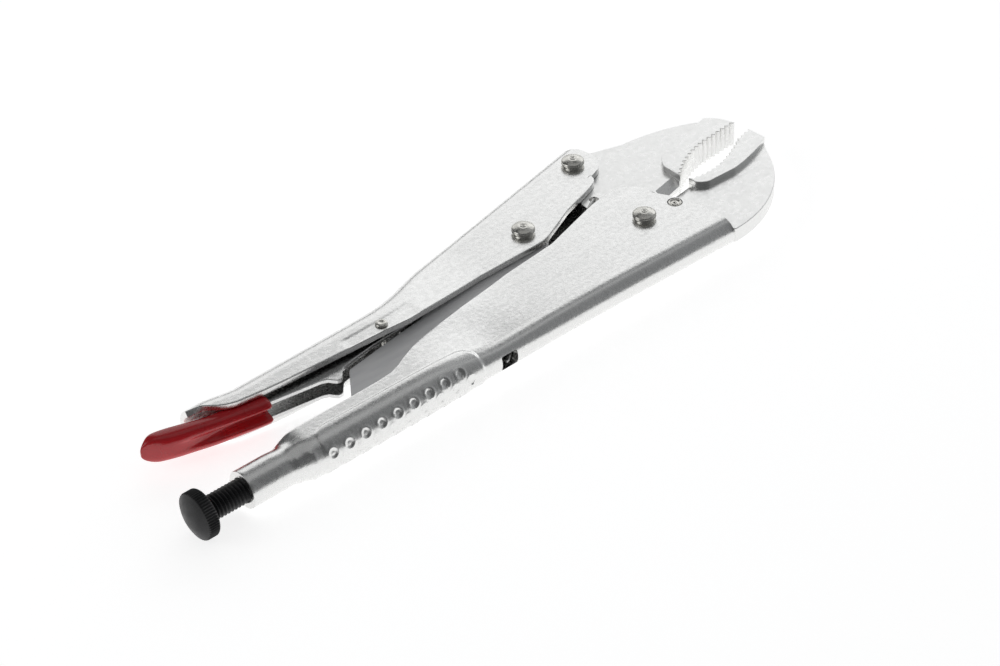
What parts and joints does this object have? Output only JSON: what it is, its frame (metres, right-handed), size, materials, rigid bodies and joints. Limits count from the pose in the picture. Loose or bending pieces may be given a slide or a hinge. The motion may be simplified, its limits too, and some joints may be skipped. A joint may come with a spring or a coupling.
{
  "type": "locking pliers",
  "caption": "Locking pliers with straight jaws: pressed channel handles, over-centre toggle link, adjusting screw with knurled knob, and a red dipped release lever.",
  "frame": {"origin": "on the surface that the tool lies on, under the middle of its outline", "axes": "+X along the adjusting screw towards the jaws, +Y from the fixed handle towards the movable handle, +Z along the rivets, up"},
  "size_m": [0.251, 0.0711, 0.0156],
  "materials": {
    "handle_plating": "satin nickel-chrome plating over pressed steel",
    "jaw_plating": "satin nickel-chrome plating over forged steel",
    "link_steel": "dull grey steel plate",
    "rivet_steel": "plated rivet steel with dished heads",
    "lever_plating": "plated pressed steel",
    "screw_black": "black oxide on steel, lightly oiled",
    "grip_red": "red dipped vinyl, slightly glossy",
    "spring_steel": "spring wire"
  },
  "bodies": {
    "frame": {"fixed_handle": "handle_plating", "fixed_jaw": "jaw_plating", "fixed_jaw_rivet": "rivet_steel", "main_pivot_rivet": "rivet_steel", "tension_spring": "spring_steel"},
    "jaw": {"movable_jaw": "jaw_plating"},
    "handle": {"movable_handle": "handle_plating", "handle_jaw_rivet": "rivet_steel", "handle_link_rivet": "rivet_steel", "release_lever_rivet": "rivet_steel"},
    "link": {"toggle_link": "link_steel"},
    "release": {"release_lever": "lever_plating", "release_lever_grip": "grip_red"},
    "screw": {"adjusting_screw": "screw_black"},
    "knob": {"screw_knob": "screw_black"}
  },
  "joints": [
    {"name": "jaw_swing", "type": "hinge", "parent": "frame", "child": "jaw", "pos_m": [0.0642, -0.01257, 0.0078], "axis": [0, 0, 1], "range_deg": [0, 13.4], "deforming": ["tension_spring"]},
    {"name": "handle_swing", "type": "hinge", "parent": "jaw", "child": "handle", "pos_m": [0.0678, 0.02533, 0.0078], "axis": [0, 0, -1], "range_deg": [0, 52]},
    {"name": "link_swing", "type": "hinge", "parent": "handle", "child": "link", "pos_m": [0.0308, 0.00813, 0.0078], "axis": [0, 0, 1], "range_deg": [0, 56.3]},
    {"name": "release_press", "type": "hinge", "parent": "handle", "child": "release", "pos_m": [-0.0338, 0.00023, 0.0078], "axis": [0, 0, -1], "range_deg": [0, 1.5]},
    {"name": "screw_travel", "type": "slide", "parent": "frame", "child": "screw", "axis": [-1, 0, 0], "range_m": [0, 0.018]},
    {"name": "knob_turn", "type": "hinge", "parent": "screw", "child": "knob", "pos_m": [-0.1237, -0.02547, 0.0078], "axis": [-1, 0, 0], "range_deg": [0, 5194]}
  ],
  "couplings": [
    {"joint": "jaw_swing", "follows": "handle_swing", "ratio": 0.2541},
    {"joint": "link_swing", "follows": "handle_swing", "ratio": 1.0797},
    {"joint": "knob_turn", "follows": "screw_travel", "rad_per_m": 5026.5}
  ]
}
